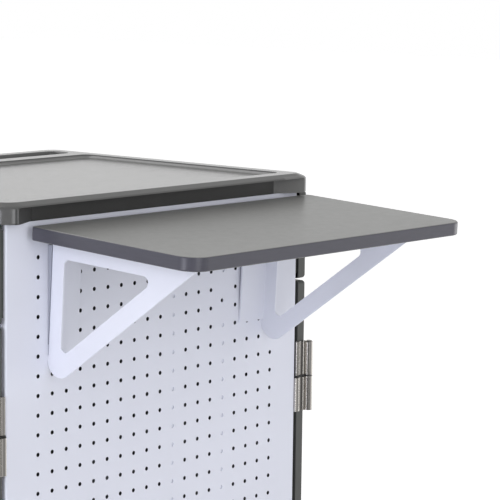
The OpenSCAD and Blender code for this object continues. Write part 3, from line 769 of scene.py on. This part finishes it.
class BarTree(Wiring):
    """Geometry Nodes that set plain bars in a row or ring: hub ribs and pedal ridges."""

    prefix = "GeometryNode"

    def __init__(self) -> None:
        """Builds the tree: a bar centred on every station and turned with it."""
        super().__init__(bpy.data.node_groups.new("bars_on_stations", "GeometryNodeTree"))
        source = self.tree.nodes.new("NodeGroupInput")
        out = self.tree.nodes.new("NodeGroupOutput")
        self.ids = {name: self.socket(name, "INPUT", kind) for name, kind in
                    (("Geometry", "Geometry"), ("Size", "Vector"), ("Finish", "Material"))}
        self.socket("Geometry", "OUTPUT", "Geometry")
        bar = self.node("MeshCube")
        turn = self.node("InputNamedAttribute", data_type="FLOAT_VECTOR")
        turn.inputs["Name"].default_value = "turn"
        copies = self.node("InstanceOnPoints")
        real = self.node("RealizeInstances")
        dress = self.node("SetMaterial")
        self.join(source.outputs["Size"], bar.inputs["Size"])
        self.join(source.outputs["Geometry"], copies.inputs["Points"])
        self.join(bar.outputs["Mesh"], copies.inputs["Instance"])
        self.join(turn.outputs["Attribute"], copies.inputs["Rotation"])
        self.join(copies.outputs[0], real.inputs["Geometry"])
        self.join(real.outputs[0], dress.inputs["Geometry"])
        self.join(source.outputs["Finish"], dress.inputs["Material"])
        self.join(dress.outputs[0], out.inputs[0])

    def socket(self, name: str, way: str, kind: str) -> str:
        """Adds a named input or output to the tree and returns its identifier."""
        kind = "NodeSocket" + kind
        return self.tree.interface.new_socket(name=name, in_out=way, socket_type=kind).identifier

    def mesh(self, name: str, places: Iterable[Matrix], **values: object) -> bpy.types.Mesh:
        """Runs the tree on stations and returns the result as a plain mesh.

        Args:
            name: The new mesh's name.
            places: A frame centred on each bar.
            values: A value for each named input.

        Returns:
            The plain mesh.
        """
        carrier = bpy.data.objects.new(name + "_carrier", stations(name, places))
        bpy.context.scene.collection.objects.link(carrier)
        modifier = carrier.modifiers.new("repeat", "NODES")
        modifier.node_group = self.tree
        for key, value in values.items():
            modifier[self.ids[key]] = value
        carrier.data.update()
        bpy.context.view_layer.update()
        graph = bpy.context.evaluated_depsgraph_get()
        result = bpy.data.meshes.new_from_object(carrier.evaluated_get(graph), depsgraph=graph)
        result.name = name
        carrier.modifiers.clear()
        bpy.data.objects.remove(carrier)
        return result


def stations(name: str, places: Iterable[Matrix]) -> bpy.types.Mesh:
    """A mesh of bare points that carries a turn for each copy.

    Args:
        name: The mesh's name.
        places: A frame for each point: its position and its turn.

    Returns:
        A mesh with a vertex per place and a "turn" vector attribute in radians.
    """
    frames = list(places)
    mesh = bpy.data.meshes.new(name)
    mesh.from_pydata([f.to_translation()[:] for f in frames], [], [])
    turns = mesh.attributes.new("turn", "FLOAT_VECTOR", "POINT")
    for item, f in zip(turns.data, frames):
        item.vector = f.to_euler("XYZ")[:]
    return mesh


class Workshop:
    """What every sub-assembly needs: the palette and the tree of bars."""

    def __init__(self) -> None:
        """Makes the palette and the tree."""
        self.palette = Palette()
        self.bars = BarTree()

    def add(self, name: str, mesh: bpy.types.Mesh, finish: Finish, body: str, slot: str,
            stands_for: Sequence[str] = ()) -> None:
        """Makes a piece at the origin and lets it ride on its body.

        Args:
            name: The piece's name.
            mesh: Its mesh, in the desk's frame.
            finish: What covers it.
            body: The body it moves with.
            slot: The record's material slot; not used.
            stands_for: Nodes that it replaces.
        """
        made = bpy.data.objects.new(name, mesh)
        bpy.context.scene.collection.objects.link(made)
        self.palette.coat(made, finish)
        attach(made, body)
        if stands_for:
            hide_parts(*stands_for)
        LOG.info("%s: %d faces on %s", name, len(mesh.polygons), body)


# ---- the desk's sub-assemblies ----


@dataclass
class Cabinet:
    """The steel cabinet, its worktop and its tray: solids that only need their finishes.

    The sizes, in metres, say where a finish changes: painted shade in the worktop's slot and in
    the finger grip under its front edge, painted light at the foot of its recess and below its
    front right corner, a darker coat behind the panels, and painted reflections and painted
    shade in the hinges.
    """

    shop: Workshop
    slot_length: float = 0.536
    slot_width: float = 0.046
    slot_from_back: float = 0.032
    slot_lip: float = 0.008
    grip_length: float = 0.566
    grip_taper: float = 0.045
    grip_wall: float = 0.018
    grip_back: float = 0.03
    grip_skirt: float = 0.002
    grip_height: float = 0.0195
    corner_depth: float = 0.05
    corner_height: float = 0.021
    rim: float = 0.0325
    recess_foot: Pair = (0.0049, 0.0018)
    panel_edge: float = 0.012
    panel_skin: float = 0.0003
    upright_skin: float = 0.0045
    upright_foot: float = 0.022
    barrel: float = 0.006
    hinge_half: float = 0.0508
    hinge_split: float = 0.0019
    split_shade_gap: float = 0.0002
    split_shade_depth: float = 0.06
    margin: float = 0.01
    dull: float = 0.3

    def dress(self) -> None:
        """Puts each node's finish on it, by the record's slots."""
        panel = self.inside_darkened_coat("white_powder_coat_dark_inside", self.panel_skin, self.upright_feet())
        post = self.inside_darkened_coat("white_powder_coat_post", self.upright_skin)
        hinge = self.hinge_plate()
        special: dict[str, Finish] = {"top_shell": self.worktop_grain()}
        for wall in ("front", "back"):
            special["side_panel_" + wall] = panel
            special["upright_" + wall] = post
        for side in Side:
            # The wedges get a mid-grey that is painted shadow for the gap behind each bracket.
            special["bracket_wedge_" + side.value] = SHADOW_GREY_COAT
            special["hinge_fixed_" + side.value] = hinge
            special["hinge_moving_" + side.value] = hinge
        rows = frame["record"]["subparts"]
        for row in rows:
            finish = special.get(row["node"], SLOT_FINISHES[row["material_slot"]])
            self.shop.palette.coat(frame["nodes"][row["node"]], finish)
        LOG.info("dressed %d solids", len(rows))

    def worktop_grain(self) -> MouldedGrain:
        """The worktop's grain with painted shade in its hollows and painted light in two places.

        Returns:
            The grain, darkened with painted shade and dulled in the back slot and the finger
            grip, lightened with painted light at the foot of the recess and below the front
            right corner.
        """
        low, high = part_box("top_shell")
        slot_back = high.y - self.slot_from_back
        slot_front = slot_back - self.slot_width
        # Painted shade darkens the back slot, the finger grip and the grip's left taper, which are
        # also dulled.
        slot = Patch((-self.slot_length / 2, slot_front, low.z),
                     (self.slot_length / 2, slot_back, high.z - self.slot_lip),
                     PAINTED_SHADE, dull=self.dull)
        reach = self.grip_length / 2 - self.grip_taper
        below, grip_top = low.z - self.margin, low.z + self.grip_height
        grip = Patch((-reach, low.y + self.grip_wall, below),
                     (reach, low.y + self.grip_back, grip_top),
                     PAINTED_SHADE, soft=0.001, dull=self.dull)
        taper = Patch((-self.grip_length / 2, low.y + self.grip_skirt, below),
                      (-reach, low.y + self.grip_back, grip_top),
                      PAINTED_SHADE, soft=0.001, dull=self.dull)
        # Painted light pales the skirt below the front right corner and the foot of the recess.
        corner = Patch((reach, low.y - self.margin, below),
                       (high.x + self.margin, low.y + self.corner_depth,
                        low.z + self.corner_height), PAINTED_LIGHT, soft=0.004)
        foot = Patch((low.x + self.rim, low.y + self.rim, high.z - self.recess_foot[0]),
                     (high.x - self.rim, slot_front, high.z - self.recess_foot[1]),
                     PAINTED_LIGHT, soft=0.00012)
        return replace(TOP_GRAIN, name="worktop_grain_painted_shade_and_light",
                       patches=(slot, grip, taper, corner, foot))

    def inside_darkened_coat(self, name: str, skin: float, gaps: Sequence[Pair] = ()) -> PowderCoat:
        """The white coat, darkened on the faces inside the cabinet.

        Args:
            name: The finish's name.
            skin: How far behind the outer faces the darkening begins, in metres.
            gaps: Ranges along X that stay white, where an upright covers the panel.

        Returns:
            The finish.
        """
        low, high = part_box("side_panel_front")[0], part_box("side_panel_back")[1]
        edge = self.panel_edge
        ends = [low.x + edge, *(x for gap in gaps for x in gap), high.x - edge]
        inner = tuple(Patch((left, low.y + skin, low.z + edge),
                            (right, high.y - skin, high.z - edge), INSIDE_DARK, soft=0.00015)
                      for left, right in zip(ends[0::2], ends[1::2]))
        return replace(WHITE_COAT, name=name, patches=inner)

    def upright_feet(self) -> list[Pair]:
        """The ranges along X that the feet of an upright cover."""
        low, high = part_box("upright_front")
        return [(low.x, low.x + self.upright_foot), (high.x - self.upright_foot, high.x)]

    def hinge_plate(self) -> FlutedPlate:
        """The hinges' finish, with its flutes set out from the barrel.

        Returns:
            The finish, with painted shade in the split between each hinge's halves.
        """
        low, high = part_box("hinge_moving_right")
        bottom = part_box("hinge_fixed_right")[0].z
        axis = high.x - self.barrel
        start = HINGE_PLATE.lean[0] * axis + HINGE_PLATE.lean[1] * (low.y + self.barrel)
        reach = axis - self.barrel - self.split_shade_gap
        split_shade = tuple(Patch((-reach, low.y - self.margin, middle - self.hinge_split),
                            (reach, low.y + self.split_shade_depth, middle + self.hinge_split),
                            PAINTED_SPLIT_SHADE, soft=0.0003)
                      for middle in (bottom + self.hinge_half, high.z - self.hinge_half))
        reflection_bands = tuple((start + place / 1000.0, factor) for place, factor in PAINTED_REFLECTION_BANDS)
        return replace(HINGE_PLATE, reflection_bands=reflection_bands, split_shade=split_shade)


@dataclass
class HingeWashers:
    """Nylon washers in the split of one door's two hinges, with a tongue in the leaf's gap."""

    shop: Workshop
    side: Side
    thick: float = 0.0015
    bore: float = 0.0034
    rim: float = 0.0058
    bevel: float = 0.0002
    barrel: float = 0.006
    tongue: float = 0.0012
    tongue_from_front: float = 0.0085
    tongue_root: float = 0.8
    clear: float = 0.0003
    half_height: float = 0.0508

    def build(self) -> None:
        """Makes both washers of the door in one piece."""
        low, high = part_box("hinge_fixed_" + self.side.value)
        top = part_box("hinge_moving_" + self.side.value)[1].z
        sign = self.side.sign
        inner, outer = (low.x, high.x) if sign > 0 else (-high.x, -low.x)
        axis = outer - self.barrel
        start = inner + self.clear
        reach = axis - self.rim * self.tongue_root - start
        tongue = Matrix.Diagonal((reach, self.tongue, self.thick, 1.0))
        slim, top_of_bevel = self.rim - self.bevel, self.thick - self.bevel
        profile = [(self.bore, 0.0), (slim, 0.0), (self.rim, self.bevel),
                   (self.rim, top_of_bevel), (slim, self.thick), (self.bore, self.thick)]
        shape = bmesh.new()
        for middle in (low.z + self.half_height, top - self.half_height):
            foot = (sign * axis, low.y + self.barrel, middle - self.thick / 2)
            turned(profile, steps=40, place=Matrix.Translation(foot), shape=shape)
            centre = (sign * (start + reach / 2), low.y + self.tongue_from_front, middle)
            bmesh.ops.create_cube(shape, size=1.0, matrix=Matrix.Translation(centre) @ tongue)
        self.shop.add("hinge_washers_" + self.side.value, settled("hinge_washers", shape),
                      PEDAL_PLASTIC, "cabinet", "pedal_plastic")


@dataclass
class Wheel:
    """One caster wheel: a rubber tread on a plastic hub with ribs.

    The boss lists radius and half-width; the rim lists inset from the hub's edge and half-width.
    """

    shop: Workshop
    corner: Corner
    half: float = 0.016
    tread: float = 0.013
    shoulder: float = 0.006
    lip: float = 0.001
    boss: tuple[Pair, ...] = ((0.0041, 0.0174), (0.0075, 0.0174), (0.0085, 0.0165),
                              (0.0125, 0.0165), (0.0132, 0.0158), (0.0145, 0.004))
    rim: tuple[Pair, ...] = ((0.009, 0.003), (0.0055, 0.0135), (0.0045, 0.0145), (0.0, 0.0145))
    ribs: int = 10
    rib: Pair = (0.0026, 0.0084)
    rib_height: float = 0.0062
    rib_ends: Pair = (0.0135, 0.0065)
    rib_sink: float = 0.0005

    def build(self) -> None:
        """Makes the tyre, the hub and its ribs in place of the plain wheel."""
        corner = self.corner.value
        node, body = "caster_wheel_" + corner, "wheel_" + corner
        low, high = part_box(node)
        radius = (high.z - low.z) / 2
        outer = radius - self.tread
        place = Matrix.Translation((low + high) / 2) @ Matrix.Rotation(math.pi / 2, 4, "X")
        self.shop.add("tyre_" + corner, self.tyre(place, radius), TREAD_RUBBER, body,
                      "wheel_rubber", (node,))
        self.shop.add("hub_" + corner, self.hub(place, outer), HUB_PLASTIC, body, "pedal_plastic")
        self.shop.add("hub_ribs_" + corner, self.spokes(place, outer), HUB_PLASTIC, body,
                      "pedal_plastic")

    def tyre(self, place: Matrix, radius: float) -> bpy.types.Mesh:
        """The tread ring with a round shoulder.

        Args:
            place: The wheel's axis.
            radius: The tread's radius.

        Returns:
            The mesh.
        """
        inner, bend = radius - self.tread, self.shoulder
        arc = [(radius - bend + bend * math.sin(a), self.half - bend + bend * math.cos(a))
               for a in (math.radians(i * 15) for i in range(7))]
        upper = [(inner, self.half - self.lip), (inner + self.lip, self.half)] + arc
        return settled("tyre", turned(both_faces(upper), steps=96, place=place))

    def hub(self, place: Matrix, outer: float) -> bpy.types.Mesh:
        """The hub: bearing boss, thin web and rim."""
        upper = [*self.boss, *((outer - inset, z) for inset, z in self.rim)]
        return settled("hub", turned(both_faces(upper), steps=72, place=place))

    def spokes(self, place: Matrix, outer: float) -> bpy.types.Mesh:
        """Ribs between the boss and the rim, on both faces of the web.

        Args:
            place: The wheel's axis.
            outer: The hub's radius.

        Returns:
            The mesh.
        """
        start, end = self.rib_ends[0], outer - self.rib_ends[1]
        frames = [place @ Matrix.Rotation(2 * math.pi * i / self.ribs, 4, "Z")
                  @ Matrix.Translation(((start + end) / 2, 0, side * self.rib_height))
                  for i in range(self.ribs) for side in (-1, 1)]
        size = (end - start + self.rib_sink, *self.rib)
        plastic = self.shop.palette.of(HUB_PLASTIC)
        return self.shop.bars.mesh("hub_ribs", frames, Size=size, Finish=plastic)


@dataclass
class BrakePedal:
    """The brake pedal's tread: ridges across the part that the foot presses."""

    shop: Workshop
    corner: Corner
    ridges: int = 5
    first: float = 0.009
    pitch: float = 0.0055
    ridge: Point = (0.0018, 0.026, 0.0012)
    tip_drop: float = 0.0027
    slope: float = 0.00135 / 0.035

    def build(self) -> None:
        """Adds the ridges on top of the pedal."""
        low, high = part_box("caster_brake_" + self.corner.value)
        along = [self.first + i * self.pitch for i in range(self.ridges)]
        tip = Vector((low.x, (low.y + high.y) / 2, high.z - self.tip_drop))
        frames = [Matrix.Translation(tip + Vector((x, 0.0, self.slope * x))) for x in along]
        name = "pedal_ridges_" + self.corner.value
        plastic = self.shop.palette.of(PEDAL_PLASTIC)
        mesh = self.shop.bars.mesh(name, frames, Size=self.ridge, Finish=plastic)
        self.shop.add(name, mesh, PEDAL_PLASTIC, "pedal_" + self.corner.value, "pedal_plastic")


@dataclass
class Latch:
    """The latch handle's key barrel."""

    shop: Workshop
    side: Side
    radius: float = 0.0052
    height: float = 0.0014
    bevel: Pair = (0.0004, 0.0003)

    def build(self) -> None:
        """Adds a bevelled key barrel on the handle's boss."""
        low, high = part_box("latch_handle_" + self.side.value)
        sign = self.side.sign
        turn = "latch_%s_turn" % self.side.value
        _, y, z = next(joint["pos_m"] for joint in frame["joints"] if joint["name"] == turn)
        foot = Vector(((high.x if sign > 0 else low.x) - sign * self.height, y, z))
        place = Matrix.Translation(foot) @ Matrix.Rotation(sign * math.pi / 2, 4, "Y")
        barrel = [(0.0, 0.0), (self.radius, 0.0), (self.radius, self.height - self.bevel[1]),
                  (self.radius - self.bevel[0], self.height), (0.0, self.height)]
        self.shop.add("key_barrel_" + self.side.value,
                      settled("key_barrel", turned(barrel, steps=40, place=place)),
                      NICKEL, "latch_" + self.side.value, "nickel")


# ---- stage ----


@dataclass(frozen=True)
class Lamp:
    """One soft box: where it hangs, what it faces, its size, watts and colour.

    A lamp that isn't mirrored lights the desk but doesn't show in its gloss.
    """

    name: str
    where: Point
    at: Point
    size: Pair
    power: float
    colour: Colour
    mirrored: bool = True

    def hang(self) -> None:
        """Adds the lamp to the scene."""
        data = bpy.data.lights.new(self.name, "AREA")
        data.shape = "RECTANGLE"
        data.size, data.size_y = self.size
        data.energy = self.power
        data.color = self.colour
        made = bpy.data.objects.new(self.name, data)
        turn = (Vector(self.at) - Vector(self.where)).to_track_quat("-Z", "Y")
        made.matrix_world = Matrix.Translation(self.where) @ turn.to_matrix().to_4x4()
        made.visible_glossy = self.mirrored
        bpy.context.scene.collection.objects.link(made)


COOL: Colour = (0.89, 0.905, 1.0)
NEUTRAL: Colour = (0.96, 0.97, 1.0)
WARM: Colour = (1.0, 0.99, 0.98)
LAMPS = (
    Lamp("strip_left", (-3.4, -0.35, 1.75), (-0.2, -0.3, 0.95), (1.2, 1.6), 33.0, COOL, False),
    Lamp("strip_left_low", (-3.4, -0.35, 0.55), (-0.2, -0.3, 0.5), (1.2, 0.8), 16.0, COOL),
    Lamp("strip_front", (-1.05, -3.6, 1.3), (-0.1, -0.2, 0.7), (1.4, 2.3), 29.5, NEUTRAL),
    Lamp("strip_right", (3.4, -1.1, 1.7), (0.2, -0.2, 0.8), (1.2, 1.6), 11.3, WARM, False),
    Lamp("strip_right_low", (3.4, -1.1, 0.5), (0.2, -0.2, 0.5), (1.2, 0.8), 5.7, WARM),
    Lamp("soft_top", (-0.45, 1.7, 2.9), (0.0, 0.0, 1.0), (2.0, 2.0), 23.0, WHITE),
)


@dataclass
class Studio:
    """The floor, the lights, the world and the camera.

    Sky is the strength of the world's own light. Gloss sees a white surround that falls to
    ceiling overhead, and to open_side on the side away from the backdrop.
    """

    eye: Point = (-2.340953, -2.366285, 1.345626)
    ahead: Point = (0.754634, 0.643286, -0.12927)
    to_right: Point = (0.649905, -0.759915, 0.012355)
    lens: float = 173.107
    sensor: float = 36.0
    farthest: float = 60.0
    sky: float = 0.75
    ceiling: float = 0.5
    ceiling_span: Pair = (0.2, 0.5)
    open_side: float = 0.35
    open_span: Pair = (-0.7, 0.1)
    backdrop: Point = (0.768, 0.64, 0.0)
    floor_reach: float = 20.0
    floor_glow: float = 0.45

    def build(self) -> None:
        """Makes the whole stage."""
        self.camera()
        self.world()
        self.floor()
        for lamp in LAMPS:
            lamp.hang()

    def camera(self) -> None:
        """Sets the camera from its position and its two directions."""
        ahead = Vector(self.ahead).normalized()
        right = Vector(self.to_right)
        right = (right - ahead * right.dot(ahead)).normalized()
        turn = Matrix((right, right.cross(ahead), -ahead)).transposed().to_4x4()
        data = bpy.data.cameras.new("camera")
        data.lens = self.lens
        data.sensor_width = self.sensor
        data.clip_end = self.farthest
        made = bpy.data.objects.new("camera", data)
        made.matrix_world = Matrix.Translation(self.eye) @ turn
        bpy.context.scene.collection.objects.link(made)
        bpy.context.scene.camera = made

    def toward(self, wires: Wiring, vector: Socket) -> Socket:
        """How bright the studio is in a direction.

        Args:
            wires: The node tree that the nodes go into.
            vector: A direction from the desk.

        Returns:
            The brightness socket: 1 at the white background, less at the open side of the room.
        """
        unit = wires.node("VectorMath", operation="NORMALIZE")
        wires.join(vector, unit.inputs[0])
        along = wires.node("VectorMath", operation="DOT_PRODUCT")
        along.inputs[1].default_value = self.backdrop
        wires.join(unit.outputs["Vector"], along.inputs[0])
        return wires.spread(along.outputs["Value"], self.open_side, 1.0, *self.open_span)

    def world(self) -> None:
        """A white surround that shows as white and lights more gently."""
        made = bpy.data.worlds.new("studio")
        made.use_nodes = True
        wires = Wiring(made.node_tree)
        out = wires.node("OutputWorld")
        back = wires.node("Background")
        ray = wires.node("LightPath").outputs
        where = wires.node("TexCoord").outputs["Generated"]
        overhead = wires.spread(wires.parts(where)["Z"], 1.0, self.ceiling, *self.ceiling_span)
        shine = wires.maths("MULTIPLY", overhead, self.toward(wires, where))
        strength = ray["Is Camera Ray"]
        for level in (wires.maths("MULTIPLY", ray["Is Glossy Ray"], shine),
                      ray["Is Transmission Ray"],
                      wires.maths("MULTIPLY", ray["Is Diffuse Ray"], self.sky)):
            strength = wires.maths("MAXIMUM", strength, level)
        wires.join(strength, back.inputs["Strength"])
        back.inputs["Color"].default_value = (*WHITE, 1.0)
        wires.join(back.outputs[0], out.inputs["Surface"])
        bpy.context.scene.world = made

    def floor(self) -> None:
        """A wide pale floor that keeps the desk's shadow."""
        graph = Graph("studio_floor")
        graph.plain(Roughness=0.9)
        graph.colour_from(graph.mottled(graph.noise(3.0), WHITE, (0.8, 0.82)))
        ray = graph.node("LightPath").outputs
        glow = graph.node("Emission")
        seen = graph.spread(ray["Is Camera Ray"], 0.0, self.floor_glow)
        graph.join(seen, glow.inputs["Strength"])
        both = graph.node("AddShader")
        graph.join(graph.shader.outputs[0], both.inputs[0])
        graph.join(glow.outputs[0], both.inputs[1])
        sheen = graph.node("Emission")
        graph.join(self.toward(graph, graph.place), sheen.inputs["Strength"])
        choice = graph.node("MixShader")
        graph.join(ray["Is Glossy Ray"], choice.inputs[0])
        graph.join(both.outputs[0], choice.inputs[1])
        graph.join(sheen.outputs[0], choice.inputs[2])
        graph.join(choice.outputs[0], graph.out.inputs["Surface"])
        mesh = bpy.data.meshes.new("floor")
        signs = ((-1, -1), (1, -1), (1, 1), (-1, 1))
        reach = self.floor_reach
        mesh.from_pydata([(x * reach, y * reach, 0) for x, y in signs], [], [(0, 1, 2, 3)])
        mesh.materials.append(graph.material)
        made = bpy.data.objects.new("floor", mesh)
        bpy.context.scene.collection.objects.link(made)


def main() -> None:
    """Builds the stage, then each sub-assembly in order."""
    logging.basicConfig(level=logging.INFO, format="%(name)s: %(message)s")
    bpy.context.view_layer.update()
    bpy.context.scene.view_settings.view_transform = "Standard"
    Studio().build()
    shop = Workshop()
    Cabinet(shop).dress()
    for corner in Corner:
        Wheel(shop, corner).build()
        if corner.braked:
            BrakePedal(shop, corner).build()
    for side in Side:
        HingeWashers(shop, side).build()
        Latch(shop, side).build()


if __name__ == "__main__":
    main()
